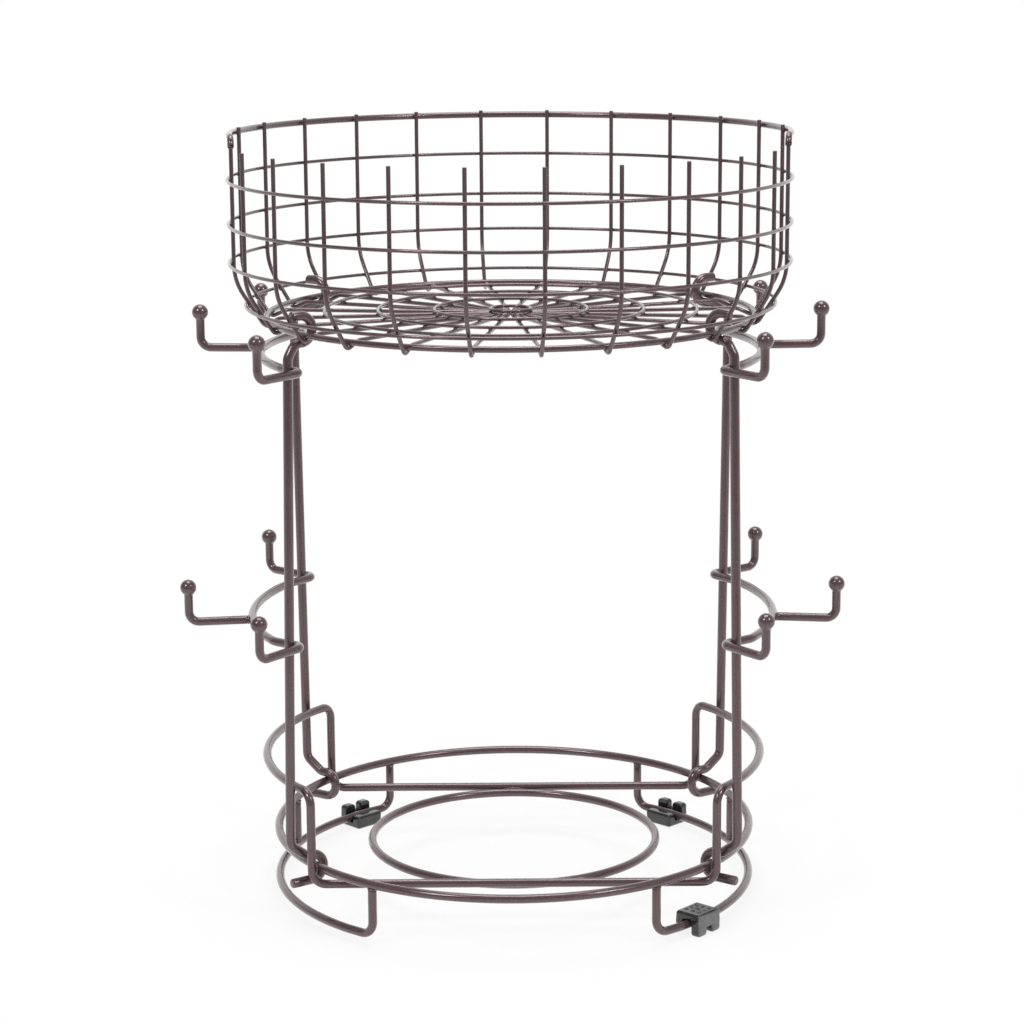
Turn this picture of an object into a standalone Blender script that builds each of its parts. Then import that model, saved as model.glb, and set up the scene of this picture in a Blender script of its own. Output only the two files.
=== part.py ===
"""Two-tier wire storage rack: a round plate base, two side frames with hooks, and a wire basket on top.

Model frame: the rack's upright axis is Z, +Y is its closed back, and the floor is at zero height.
All sizes are in metres. Every wire is drawn on its centreline.
"""

import math

import bmesh
import bpy
from mathutils import Matrix, Vector

# Wire diameters
FRAME_WIRE = 0.0050
LEG_WIRE = 0.0055
RIM_WIRE = 0.0038
FLOOR_RING_WIRE = 0.0036
BASKET_WIRE = 0.0024
HOOP_WIRE = 0.0020

# Gap left between wires that touch or are welded
WELD_GAP = 0.0003

# Rings: the base ring and the basket's floor ring are the same size
RING_RADIUS = 0.1400
BASE_CLEARANCE = 0.0300
BASKET_RISE = 0.3045

# Foot wires: a C at each side, turned up at both ends to meet the base ring
FOOT_HALF_ANGLE = math.radians(55.5)
FOOT_BEND = 0.0080
STRUT_AZIMUTH = math.radians(18.0)

# Foot pads, clipped over the foot wires from below, or from above where one is turned over
PAD_LENGTH = 0.0200
PAD_WIDTH = 0.0180
PAD_HEIGHT = 0.0130
PAD_EDGE = 0.0015
PAD_SIDE_CLEARANCE = 0.0007
PAD_INNER_WALL_RISE = 0.0005
PAD_NOTCH_WIDTH = 0.0045
PAD_NOTCH_DEPTH = 0.0050
PAD_DIMPLE = 0.0020
PAD_DIMPLE_DEPTH = 0.0008
PAD_DIMPLE_PITCH = 0.0045
PAD_DIMPLES_PER_ROW = 3
PAD_REAR_INSET = 0.0052
PAD_FRONT_INSET = 0.0150

# Legs: hooked under the base ring and over the basket's floor ring
FRONT_LEG_AZIMUTH = math.radians(34.5)
REAR_LEG_AZIMUTH = math.radians(33.0)
FRONT_STANDOFF_LOW = 0.0136
FRONT_STANDOFF_HIGH = 0.0082
REAR_STANDOFF_LOW = 0.0142
REAR_STANDOFF_HIGH = 0.0172
LEG_HOOK_RADIUS = 0.0075
LEG_NECK = 0.0035
LEG_SLANT_RISE = 0.0079
LEG_TAIL_LOW = 0.0135
LEG_TAIL_HIGH = 0.0060
LEG_BEND = 0.0065

# Plate guard: one closed wire, two chords under the base ring and an arc over each side
GUARD_POST_SPACING = 0.0087
GUARD_CHORD_DROP = 0.0088
GUARD_HEIGHT = 0.0450
GUARD_SIDE_STANDOFF = 0.0060
GUARD_BEND = 0.0080
INNER_RING_SEAT_ANGLE = math.radians(29.0)

# Hooks: a wire round both legs of a side, with a hook at each end and one at its middle
LOWER_HOOK_RISE = 0.1290
UPPER_HOOK_DROP = 0.0080
LOWER_ARC_STANDOFF = 0.0125
UPPER_ARC_STANDOFF = 0.0040
ARC_APPROACH = 0.0160
ARC_BEND = 0.0120
ARM_LENGTH = 0.0310
FRONT_ARM_SPLAY = math.radians(19.0)
REAR_ARM_SPLAY = math.radians(3.5)
SIDE_HOOK_LENGTH = 0.0367
LOWER_SIDE_AZIMUTH = math.radians(-8.0)
UPPER_SIDE_AZIMUTH = math.radians(4.0)
STEM_RISE = 0.0205
STEM_BEND = 0.0060
BALL_DIAMETER = 0.0095

# Basket: upright wires bent round the floor ring and run in to the middle as spokes
UPRIGHT_COUNT = 24
BASKET_TURN = math.radians(-1.0)
BASKET_FLARE = 0.0178
WALL_SLANT = math.radians(33.0)
WALL_BEND = 0.0320
SPOKE_CLIMB = math.radians(25.0)
SPOKE_BEND = 0.0080
RIM_RISE = 0.1025
RIM_BEND = 0.0048
REAR_TOP_ABOVE_RIM = 0.0030
FRONT_TOP_BELOW_RIM = 0.0055
HOOP_RISE_1 = 0.0785
HOOP_RISE_2 = 0.0535
HOOP_RISE_3 = 0.0315
HOOP_RISE_4 = 0.0075
FLOOR_HOOP_OUTER = 0.1070
FLOOR_HOOP_MIDDLE = 0.0765
FLOOR_HOOP_INNER = 0.0440
FLOOR_HOOP_HUB = 0.0115

# Extra length of a cutter past the face it cuts
OVERRUN = 0.0010

# Facets
RING_SEGMENTS = 48
BASE_RING_SEGMENTS = 44
INNER_RING_SEGMENTS = 32
FLOOR_HOOP_SEGMENTS = (32, 24, 18, 12)
THICK_BEVEL_SEGMENTS = 2
THIN_BEVEL_SEGMENTS = 1
THICK_SIDES = 8
THIN_SIDES = 6
HOOP_SIDES = 5
BALL_ROWS = 4
BALL_LAST_ROW = math.radians(164.0)
DIMPLE_SIDES = 6
BEND_STEP = math.radians(30.0)
SIDE_ARC_STEPS = 10
FOOT_ARC_STEPS = 16

# Finishes: colour, roughness and metallic value
PAINTED_WIRE = ((0.105, 0.078, 0.080), 0.34, 0.35)
BLACK_PAD = ((0.012, 0.012, 0.013), 0.22, 0.0)

# Places worked out from the sizes above
UP = Vector((0, 0, 1))
FOOT_WIRE_HEIGHT = PAD_HEIGHT / 2
BASE_HEIGHT = FOOT_WIRE_HEIGHT + BASE_CLEARANCE
FLOOR_HEIGHT = BASE_HEIGHT + BASKET_RISE
UPRIGHT_PITCH = 2 * math.pi / UPRIGHT_COUNT
LEG_SEAT = (FRAME_WIRE + LEG_WIRE) / 2 + WELD_GAP
FLOOR_SEAT = (FLOOR_RING_WIRE + LEG_WIRE) / 2 + WELD_GAP
LEG_FOOT_TOP = LEG_SEAT + LEG_SLANT_RISE
LEG_HEAD_BOTTOM = BASKET_RISE - FLOOR_SEAT - LEG_SLANT_RISE
UPPER_HOOK_RISE = LEG_HEAD_BOTTOM - UPPER_HOOK_DROP
FRONT_STANDOFFS = (FRONT_STANDOFF_LOW, FRONT_STANDOFF_HIGH)
REAR_STANDOFFS = (REAR_STANDOFF_LOW, REAR_STANDOFF_HIGH)
GUARD_POST_RADIUS = RING_RADIUS + FRAME_WIRE + WELD_GAP
GUARD_POST_AZIMUTH = FRONT_LEG_AZIMUTH + math.asin(GUARD_POST_SPACING / GUARD_POST_RADIUS)
BASKET_RADIUS = RING_RADIUS + BASKET_FLARE
WALL_SEAT = (FLOOR_RING_WIRE + BASKET_WIRE) / 2 + WELD_GAP
HOOP_SEAT = (BASKET_WIRE + HOOP_WIRE) / 2 + WELD_GAP


def polar(radius, azimuth, height=0.0):
    """Point at a distance and an angle from the upright axis."""
    return Vector((radius * math.cos(azimuth), radius * math.sin(azimuth), height))


def arc(centre, radius, start, end, steps, height=0.0, hug=False):
    """Points along a level arc; a hugging arc's chords, not its points, lie at the radius."""
    if hug:
        radius /= math.cos((end - start) / steps / 2)
    points = []
    for step in range(steps + 1):
        angle = start + (end - start) * step / steps
        points.append(centre + polar(radius, angle, height))
    return points


def sharp(points):
    """Corners that stay as they are, for the points of an arc."""
    return [(point, 0.0) for point in points]


def bent(corners, closed=False):
    """Centreline of a wire through corners, each rounded to the bend radius given with it."""
    points = []
    for index, (corner, radius) in enumerate(corners):
        end = not closed and index in (0, len(corners) - 1)
        if end or radius == 0.0:
            points.append(corner)
            continue
        before = (corners[index - 1][0] - corner).normalized()
        after = (corners[(index + 1) % len(corners)][0] - corner).normalized()
        turn = math.pi - before.angle(after)
        if turn == 0.0:
            points.append(corner)
            continue
        centre = corner + (before + after).normalized() * radius / math.cos(turn / 2)
        spoke = corner + before * radius * math.tan(turn / 2) - centre
        axis = after.cross(before).normalized()
        steps = max(1, round(turn / BEND_STEP))
        for step in range(steps + 1):
            rotation = Matrix.Rotation(turn * step / steps, 3, axis)
            points.append(centre + rotation @ spoke)
    return points


def clear_scene():
    """Remove every object, so that the model starts from nothing."""
    for obj in list(bpy.data.objects):
        bpy.data.objects.remove(obj, do_unlink=True)


def new_collection(name):
    collection = bpy.data.collections.new(name)
    bpy.context.scene.collection.children.link(collection)
    return collection


def new_empty(name, parent, location, turn=0.0):
    """An empty that carries the pieces of one level."""
    empty = bpy.data.objects.new(name, None)
    rack.objects.link(empty)
    empty.parent = parent
    empty.location = location
    empty.rotation_euler = (0, 0, turn)
    return empty


def new_finish(name, finish):
    """Principled material of one piece."""
    colour, roughness, metallic = finish
    material = bpy.data.materials.new(name + "_finish")
    material.use_nodes = True
    shader = material.node_tree.nodes["Principled BSDF"]
    shader.inputs["Base Color"].default_value = (*colour, 1.0)
    shader.inputs["Roughness"].default_value = roughness
    shader.inputs["Metallic"].default_value = metallic
    material.diffuse_color = (*colour, 1.0)
    return material


def place(name, data, parent, finish, location=(0, 0, 0), rotation=(0, 0, 0)):
    """Put one piece in the rack, with a material of its own."""
    obj = bpy.data.objects.new(name, data)
    rack.objects.link(obj)
    obj.parent = parent
    obj.location = location
    obj.rotation_euler = rotation
    if not data.materials:
        data.materials.append(None)
    obj.material_slots[0].link = "OBJECT"
    obj.material_slots[0].material = new_finish(name, finish)
    return obj


def wire_data(name, points, diameter, level, closed=False, swells=None):
    """Round wire along a centreline, with closed ends; swells are its thickness at each point."""
    curve = bpy.data.curves.new(name, "CURVE")
    curve.dimensions = "3D"
    curve.bevel_depth = diameter / 2
    curve.bevel_resolution = level
    curve.use_fill_caps = True
    spline = curve.splines.new("POLY")
    spline.points.add(len(points) - 1)
    for index, (spline_point, point) in enumerate(zip(spline.points, points)):
        spline_point.co = (*point, 1.0)
        spline_point.radius = swells[index] if swells else 1.0
    spline.use_cyclic_u = closed
    spline.use_smooth = True
    return curve


def ring(name, radius, diameter, sides, segments, parent, height=0.0, turn=0.0):
    """Closed round ring, from the torus primitive."""
    bpy.ops.mesh.primitive_torus_add(
        major_segments=segments,
        minor_segments=sides,
        major_radius=radius,
        minor_radius=diameter / 2,
    )
    made = bpy.context.object
    mesh = made.data
    bpy.data.objects.remove(made)
    mesh.name = name
    mesh.shade_smooth()
    return place(name, mesh, parent, PAINTED_WIRE, (0, 0, height), (0, 0, turn))


def box_mesh(name, low, high):
    """Box between two corners, from the cube primitive."""
    size = high - low
    middle = (low + high) / 2
    shape = bmesh.new()
    fit = Matrix.Translation(middle) @ Matrix.Diagonal((*size, 1.0))
    bmesh.ops.create_cube(shape, size=1.0, matrix=fit)
    mesh = bpy.data.meshes.new(name)
    shape.to_mesh(mesh)
    shape.free()
    return mesh


def make_base():
    """Base ring, its two foot wires, and the strut at each side's rear."""
    ring("base_ring", RING_RADIUS, FRAME_WIRE, THICK_SIDES, BASE_RING_SEGMENTS, base_level)
    top = BASE_HEIGHT - FRAME_WIRE / 2 - WELD_GAP
    half = FOOT_HALF_ANGLE
    foot = arc(Vector(), RING_RADIUS, -half, half, FOOT_ARC_STEPS, FOOT_WIRE_HEIGHT)
    corners = [(polar(RING_RADIUS, -FOOT_HALF_ANGLE, top), 0.0), (foot[0], FOOT_BEND)]
    corners += sharp(foot[1:-1])
    corners += [(foot[-1], FOOT_BEND), (polar(RING_RADIUS, FOOT_HALF_ANGLE, top), 0.0)]
    foot_curve = wire_data("foot_wire", bent(corners), FRAME_WIRE, THICK_BEVEL_SEGMENTS)
    bottom = FOOT_WIRE_HEIGHT + FRAME_WIRE / 2 + WELD_GAP
    for side, turn in (("right", 0.0), ("left", math.pi)):
        place("foot_wire_" + side, foot_curve, rack_root, PAINTED_WIRE, rotation=(0, 0, turn))
        azimuth = STRUT_AZIMUTH if side == "right" else math.pi - STRUT_AZIMUTH
        run = [polar(RING_RADIUS, azimuth, bottom), polar(RING_RADIUS, azimuth, top)]
        strut = wire_data("side_strut_" + side, run, FRAME_WIRE, THICK_BEVEL_SEGMENTS)
        place("side_strut_" + side, strut, rack_root, PAINTED_WIRE)


def pad_cutters():
    """Channel, low inner wall, notch and sole dimples, cut from the pad's block."""
    half_channel = FRAME_WIRE / 2 + PAD_SIDE_CLEARANCE
    wire_bow = PAD_LENGTH * PAD_LENGTH / (8 * RING_RADIUS)
    channel_shift = -wire_bow / 2
    floor = -FRAME_WIRE / 2 - WELD_GAP
    top = PAD_HEIGHT / 2 + OVERRUN
    out = PAD_WIDTH / 2 + OVERRUN
    along = PAD_LENGTH / 2 + OVERRUN
    channel = box_mesh(
        "pad_channel",
        Vector((channel_shift - half_channel, -along, floor)),
        Vector((channel_shift + half_channel, along, top)),
    )
    inner = box_mesh("pad_inner_wall", Vector((-out, -along, PAD_INNER_WALL_RISE)), Vector((0, along, top)))
    notch = box_mesh(
        "pad_notch",
        Vector((0, -PAD_NOTCH_WIDTH / 2, PAD_HEIGHT / 2 - PAD_NOTCH_DEPTH)),
        Vector((out, PAD_NOTCH_WIDTH / 2, top)),
    )
    shape = bmesh.new()
    first = -(PAD_DIMPLES_PER_ROW - 1) / 2
    for column in range(PAD_DIMPLES_PER_ROW):
        for row in range(PAD_DIMPLES_PER_ROW):
            x = (first + column) * PAD_DIMPLE_PITCH
            y = (first + row) * PAD_DIMPLE_PITCH
            bmesh.ops.create_cone(
                shape,
                cap_ends=True,
                segments=DIMPLE_SIDES,
                radius1=PAD_DIMPLE / 2,
                radius2=PAD_DIMPLE / 2,
                depth=2 * PAD_DIMPLE_DEPTH,
                matrix=Matrix.Translation((x, y, -PAD_HEIGHT / 2)),
            )
    dimples = bpy.data.meshes.new("pad_dimples")
    shape.to_mesh(dimples)
    shape.free()
    return (channel, inner, notch, dimples)


def make_pads():
    """Three clip-on pads; the front one is turned over, with its sole upward."""
    size = Vector((PAD_WIDTH, PAD_LENGTH, PAD_HEIGHT)) / 2
    cutter_meshes = pad_cutters()
    end = FOOT_HALF_ANGLE - (FOOT_BEND + PAD_LENGTH / 2) / RING_RADIUS
    rear = end - PAD_REAR_INSET / RING_RADIUS
    front = PAD_FRONT_INSET / RING_RADIUS - end
    places = (("rear_left", math.pi - rear, 0.0), ("rear_right", rear, 0.0), ("front_right", front, math.pi))
    for where, azimuth, roll in places:
        name = "foot_pad_" + where
        pad = place(
            name,
            box_mesh(name, -size, size),
            rack_root,
            BLACK_PAD,
            polar(RING_RADIUS, azimuth, FOOT_WIRE_HEIGHT),
            (roll, 0, azimuth),
        )
        rounding = pad.modifiers.new("rounded_edges", "BEVEL")
        rounding.width = PAD_EDGE
        rounding.segments = 2
        for mesh in cutter_meshes:
            cutter = bpy.data.objects.new(name + "_" + mesh.name, mesh)
            cutters.objects.link(cutter)
            cutter.parent = pad
            cutter.hide_render = True
            cutter.display_type = "WIRE"
            cut = pad.modifiers.new(mesh.name, "BOOLEAN")
            cut.operation = "DIFFERENCE"
            cut.object = cutter


def leg_radius(rise, standoffs):
    """Distance of a leg's straight run from the axis, at a height above the base ring."""
    low, high = standoffs
    share = (rise - LEG_FOOT_TOP) / (LEG_HEAD_BOTTOM - LEG_FOOT_TOP)
    return RING_RADIUS + low + (high - low) * share


def leg_curve(name, standoffs):
    """Leg bent in its own upright plane through the axis."""
    low = RING_RADIUS + standoffs[0]
    high = RING_RADIUS + standoffs[1]
    neck = RING_RADIUS + LEG_NECK
    inside = RING_RADIUS - LEG_HOOK_RADIUS
    under = LEG_SEAT - 2 * LEG_HOOK_RADIUS
    floor = BASKET_RISE - FLOOR_SEAT
    over = floor + 2 * LEG_HOOK_RADIUS
    corners = [
        (Vector((RING_RADIUS + LEG_TAIL_LOW, 0, under)), 0.0),
        (Vector((inside, 0, under)), LEG_HOOK_RADIUS),
        (Vector((inside, 0, LEG_SEAT)), LEG_HOOK_RADIUS),
        (Vector((neck, 0, LEG_SEAT)), LEG_BEND),
        (Vector((low, 0, LEG_FOOT_TOP)), LEG_BEND),
        (Vector((high, 0, LEG_HEAD_BOTTOM)), LEG_BEND),
        (Vector((neck, 0, floor)), LEG_BEND),
        (Vector((inside, 0, floor)), LEG_HOOK_RADIUS),
        (Vector((inside, 0, over)), LEG_HOOK_RADIUS),
        (Vector((RING_RADIUS + LEG_TAIL_HIGH, 0, over)), 0.0),
    ]
    return wire_data(name, bent(corners), LEG_WIRE, THICK_BEVEL_SEGMENTS)


def make_legs():
    """Four legs; the rear two stand out further than the front two."""
    front = leg_curve("front_leg", FRONT_STANDOFFS)
    rear = leg_curve("rear_leg", REAR_STANDOFFS)
    places = (
        ("front_left", front, math.pi + FRONT_LEG_AZIMUTH),
        ("front_right", front, -FRONT_LEG_AZIMUTH),
        ("rear_left", rear, math.pi - REAR_LEG_AZIMUTH),
        ("rear_right", rear, REAR_LEG_AZIMUTH),
    )
    for where, curve, azimuth in places:
        place("leg_" + where, curve, base_level, PAINTED_WIRE, rotation=(0, 0, azimuth))


def make_guard():
    """Plate guard and the inner ring that hangs inside its two chords."""
    x = GUARD_POST_RADIUS * math.cos(GUARD_POST_AZIMUTH)
    y = GUARD_POST_RADIUS * math.sin(GUARD_POST_AZIMUTH)
    reach = RING_RADIUS + GUARD_SIDE_STANDOFF
    centre = (reach * reach - x * x - y * y) / (2 * (reach - x))
    half = math.atan2(y, x - centre)
    right = arc(Vector((centre, 0, 0)), reach - centre, -half, half, SIDE_ARC_STEPS, GUARD_HEIGHT)
    left = [Vector((-point.x, -point.y, point.z)) for point in right]
    corners = []
    for points, side in ((right, 1), (left, -1)):
        corners += [(Vector((side * x, -side * y, -GUARD_CHORD_DROP)), GUARD_BEND), (points[0], GUARD_BEND)]
        corners += sharp(points[1:-1])
        corners += [(points[-1], GUARD_BEND), (Vector((side * x, side * y, -GUARD_CHORD_DROP)), GUARD_BEND)]
    guard = wire_data("guard_wire", bent(corners, True), FRAME_WIRE, THICK_BEVEL_SEGMENTS, True)
    place("guard_wire", guard, base_level, PAINTED_WIRE)
    seat = FRAME_WIRE + WELD_GAP
    radius = y - seat * math.cos(INNER_RING_SEAT_ANGLE)
    height = -GUARD_CHORD_DROP - seat * math.sin(INNER_RING_SEAT_ANGLE)
    ring("inner_ring", radius, FRAME_WIRE, THICK_SIDES, INNER_RING_SEGMENTS, base_level, height)


def hook_half(rise, reach, azimuth, standoffs, splay):
    """Half of a hook wire on the rear side, from its side arc round the leg to the stem."""
    leg = polar(leg_radius(rise, standoffs), azimuth)
    turn_radius = (LEG_WIRE + FRAME_WIRE) / 2 + WELD_GAP
    span = math.hypot(turn_radius, ARC_APPROACH)
    cosine = (reach * reach - leg.length_squared - span * span) / (2 * leg.length * span)
    approach = azimuth + math.pi - math.acos(cosine) + math.atan2(turn_radius, ARC_APPROACH)
    leave = azimuth + splay
    quarter = math.pi / 2
    steps = round((approach - leave) / BEND_STEP) + 1
    turn = arc(leg, turn_radius, approach + quarter, leave + quarter, steps, hug=True)
    joint = leg + polar(turn_radius, approach + quarter) - polar(ARC_APPROACH, approach)
    stem = turn[-1] + polar(ARM_LENGTH, leave)
    side_arc = arc(Vector(), reach, 0.0, math.atan2(joint.y, joint.x), SIDE_ARC_STEPS // 2)
    ball = ball_end(stem)
    corners = sharp(side_arc[:-1]) + [(joint, ARC_BEND)] + sharp(turn)
    corners += [(stem, STEM_BEND), (ball[0][0], 0.0)]
    return bent(corners)[:-1], ball


def ball_end(stand):
    """Ball on top of a stem: points up its middle, and the wire's thickness at each of them."""
    start = math.asin(FRAME_WIRE / BALL_DIAMETER)
    rows = []
    for row in range(BALL_ROWS + 1):
        angle = start + (BALL_LAST_ROW - start) * row / BALL_ROWS
        rise = STEM_RISE - BALL_DIAMETER / 2 * math.cos(angle)
        rows.append((stand + UP * rise, BALL_DIAMETER * math.sin(angle) / FRAME_WIRE))
    return rows


def ball_tipped(name, points, first_ball, last_ball):
    """Hook wire whose last stem, and first one too where asked, end in a ball."""
    rows = first_ball[::-1] + [(point, 1.0) for point in points] + last_ball
    points = [row[0] for row in rows]
    swells = [row[1] for row in rows]
    return wire_data(name, points, FRAME_WIRE, THICK_BEVEL_SEGMENTS, swells=swells)


def make_hooks():
    """Two hook wires and two side hooks for each side of the rack."""
    levels = (
        ("lower", LOWER_HOOK_RISE, RING_RADIUS + LOWER_ARC_STANDOFF, LOWER_SIDE_AZIMUTH),
        ("upper", UPPER_HOOK_RISE, RING_RADIUS + UPPER_ARC_STANDOFF, UPPER_SIDE_AZIMUTH),
    )
    for level, rise, reach, side_azimuth in levels:
        rear, rear_ball = hook_half(rise, reach, REAR_LEG_AZIMUTH, REAR_STANDOFFS, REAR_ARM_SPLAY)
        front, front_ball = hook_half(rise, reach, FRONT_LEG_AZIMUTH, FRONT_STANDOFFS, FRONT_ARM_SPLAY)
        points = [mirrored(point) for point in front[:0:-1]] + rear
        front_ball = [(mirrored(point), swell) for point, swell in front_ball]
        start = Vector((reach + FRAME_WIRE + WELD_GAP - FRAME_WIRE / 2, 0, 0))
        tip = Vector((reach + SIDE_HOOK_LENGTH, 0, 0))
        side_ball = ball_end(tip)
        side_points = bent([(start, 0.0), (tip, STEM_BEND), (side_ball[0][0], 0.0)])[:-1]
        side_hook = ball_tipped("side_hook_" + level, side_points, [], side_ball)
        for side, flip in (("right", 1), ("left", -1)):
            where = "_" + level + "_" + side
            ring_points = [flipped(point, flip) for point in points]
            first_ball = [(flipped(point, flip), swell) for point, swell in front_ball]
            last_ball = [(flipped(point, flip), swell) for point, swell in rear_ball]
            hook_ring = ball_tipped("hook_ring" + where, ring_points, first_ball, last_ball)
            place("hook_ring" + where, hook_ring, base_level, PAINTED_WIRE, location=(0, 0, rise))
            azimuth = side_azimuth if flip == 1 else math.pi - side_azimuth
            pose = {"location": (0, 0, rise), "rotation": (0, 0, azimuth)}
            place("side_hook" + where, side_hook, base_level, PAINTED_WIRE, **pose)


def mirrored(point):
    """The same place on the front half."""
    return Vector((point.x, -point.y, point.z))


def flipped(point, flip):
    """The same place on the other side, where flip is -1."""
    return Vector((flip * point.x, point.y, point.z))


def wall_wire(top, spoke_end):
    """Upright wire in its own plane: wall, turn under the floor ring, and spoke."""
    steps = round((math.pi / 2 - WALL_SLANT + SPOKE_CLIMB) / BEND_STEP) + 1
    turn = arc(Vector(), WALL_SEAT, -WALL_SLANT, -math.pi / 2 - SPOKE_CLIMB, steps, hug=True)
    turn = [Vector((RING_RADIUS + point.x, 0, point.y)) for point in turn]
    last = turn[-1]
    knee = last.x + last.z / math.tan(SPOKE_CLIMB)
    corners = [
        (Vector((BASKET_RADIUS, 0, top)), 0.0),
        (Vector((BASKET_RADIUS, 0, wall_height(BASKET_RADIUS))), WALL_BEND),
    ]
    corners += sharp(turn)
    corners += [(Vector((knee, 0, 0)), SPOKE_BEND), (Vector((spoke_end, 0, 0)), 0.0)]
    return bent(corners)


def wall_height(radius):
    """Height above the floor ring at which the sloping wall reaches a radius."""
    return (radius - RING_RADIUS - WALL_SEAT / math.cos(WALL_SLANT)) / math.tan(WALL_SLANT)


def wall_radius(height):
    """Distance from the axis of the wall's centreline at a height above the floor ring."""
    sloping = RING_RADIUS + WALL_SEAT / math.cos(WALL_SLANT) + height * math.tan(WALL_SLANT)
    return min(BASKET_RADIUS, sloping)


def spoke_end_radius(count):
    """Nearest to the axis that a number of spokes can all end, side by side."""
    return (BASKET_WIRE + WELD_GAP) / (2 * math.sin(math.pi / count))


def make_uprights():
    """Wall wires with their spokes; every second and fourth one runs further in."""
    half = UPRIGHT_COUNT // 2
    data = {}
    for index in range(UPRIGHT_COUNT):
        rear = index < half
        top = RIM_RISE + REAR_TOP_ABOVE_RIM if rear else RIM_RISE - FRONT_TOP_BELOW_RIM
        sharing = UPRIGHT_COUNT
        if index % 2 == 0:
            sharing = UPRIGHT_COUNT // 2
        if index % 4 == 0:
            sharing = UPRIGHT_COUNT // 4
        key = (top, sharing)
        if key not in data:
            points = wall_wire(top, spoke_end_radius(sharing))
            data[key] = wire_data("basket_wire", points, BASKET_WIRE, THIN_BEVEL_SEGMENTS)
        azimuth = (index + 0.5) * UPRIGHT_PITCH
        place(f"basket_wire_{index + 1:02d}", data[key], basket_level, PAINTED_WIRE, rotation=(0, 0, azimuth))


def make_rim():
    """Thick rim round the back half, its ends drawn in and turned down onto the two end wires."""
    outer = BASKET_RADIUS + (BASKET_WIRE + RIM_WIRE) / 2 + WELD_GAP
    drawn_in = (BASKET_RADIUS + outer) / 2
    start = -UPRIGHT_PITCH / 2
    end = math.pi + UPRIGHT_PITCH / 2
    steps = UPRIGHT_COUNT + 2
    points = arc(Vector(), outer, start, end, steps, RIM_RISE)
    foot = RIM_RISE - FRONT_TOP_BELOW_RIM + WELD_GAP
    corners = [(polar(BASKET_RADIUS, start, foot), 0.0), (polar(BASKET_RADIUS, start, RIM_RISE), RIM_BEND)]
    corners += sharp([polar(drawn_in, 0.0, RIM_RISE), *points[2:-2], polar(drawn_in, math.pi, RIM_RISE)])
    corners += [(polar(BASKET_RADIUS, end, RIM_RISE), RIM_BEND), (polar(BASKET_RADIUS, end, foot), 0.0)]
    rim = wire_data("basket_rim", bent(corners), RIM_WIRE, THIN_BEVEL_SEGMENTS)
    place("basket_rim", rim, basket_level, PAINTED_WIRE)


def make_hoops():
    """Floor ring, wall hoops outside the uprights, and floor hoops on top of the spokes."""
    turn = UPRIGHT_PITCH / 2
    ring(
        "basket_floor_ring",
        RING_RADIUS,
        FLOOR_RING_WIRE,
        THIN_SIDES,
        RING_SEGMENTS,
        basket_level,
        turn=turn,
    )
    rises = (HOOP_RISE_1, HOOP_RISE_2, HOOP_RISE_3, HOOP_RISE_4)
    for number, rise in enumerate(rises, 1):
        wall = wall_radius(rise)
        slant = WALL_SLANT if wall < BASKET_RADIUS else 0.0
        radius = wall + HOOP_SEAT / math.cos(slant)
        name = f"basket_hoop_{number}"
        ring(name, radius, HOOP_WIRE, HOOP_SIDES, RING_SEGMENTS, basket_level, rise, turn)
    places = ("outer", "middle", "inner", "hub")
    radii = (FLOOR_HOOP_OUTER, FLOOR_HOOP_MIDDLE, FLOOR_HOOP_INNER, FLOOR_HOOP_HUB)
    for where, radius, segments in zip(places, radii, FLOOR_HOOP_SEGMENTS):
        ring("floor_hoop_" + where, radius, HOOP_WIRE, HOOP_SIDES, segments, basket_level, HOOP_SEAT, turn)


clear_scene()
rack = new_collection("storage_rack")
cutters = new_collection("storage_rack_cutters")
rack_root = new_empty("rack_origin", None, (0, 0, 0))
base_level = new_empty("base_ring_level", rack_root, (0, 0, BASE_HEIGHT))
basket_level = new_empty("basket_floor_level", rack_root, (0, 0, FLOOR_HEIGHT), BASKET_TURN)
make_base()
make_pads()
make_legs()
make_guard()
make_hooks()
make_uprights()
make_rim()
make_hoops()
bpy.context.view_layer.update()
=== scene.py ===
"""Two-tier wire storage rack: its painted wires, welds and foot pads, on a plain pale stage.

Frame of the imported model: metres, the rack's upright axis is Z, +Y is its closed back, and the
floor is at zero height. Every wire is drawn on its centreline and swept to a round tube.
"""

import math

import bmesh
import bpy
from bpy.props import FloatProperty, FloatVectorProperty, IntProperty, PointerProperty
from mathutils import Matrix, Vector


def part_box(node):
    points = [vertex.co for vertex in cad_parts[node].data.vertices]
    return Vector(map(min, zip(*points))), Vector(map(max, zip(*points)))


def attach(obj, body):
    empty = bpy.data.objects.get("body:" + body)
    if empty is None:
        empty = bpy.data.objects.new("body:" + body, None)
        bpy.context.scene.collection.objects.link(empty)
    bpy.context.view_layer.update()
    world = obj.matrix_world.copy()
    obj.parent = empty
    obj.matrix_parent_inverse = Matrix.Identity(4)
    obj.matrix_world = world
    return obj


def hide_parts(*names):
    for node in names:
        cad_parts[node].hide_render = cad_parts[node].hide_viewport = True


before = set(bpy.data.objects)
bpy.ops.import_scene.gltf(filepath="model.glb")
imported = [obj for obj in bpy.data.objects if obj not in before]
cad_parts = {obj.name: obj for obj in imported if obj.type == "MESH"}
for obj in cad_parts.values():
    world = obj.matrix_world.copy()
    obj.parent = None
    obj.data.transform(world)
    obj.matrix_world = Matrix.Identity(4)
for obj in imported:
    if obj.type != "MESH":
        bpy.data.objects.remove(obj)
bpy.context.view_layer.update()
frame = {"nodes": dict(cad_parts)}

bl_info = {
    "name": "Two-tier wire storage rack",
    "version": (1, 0, 0),
    "blender": (4, 5, 0),
    "location": "View3D > Sidebar > Storage rack",
    "description": "Finishes the packed rack's wires, welds and foot pads, and sets its stage",
    "category": "Object",
}

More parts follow.
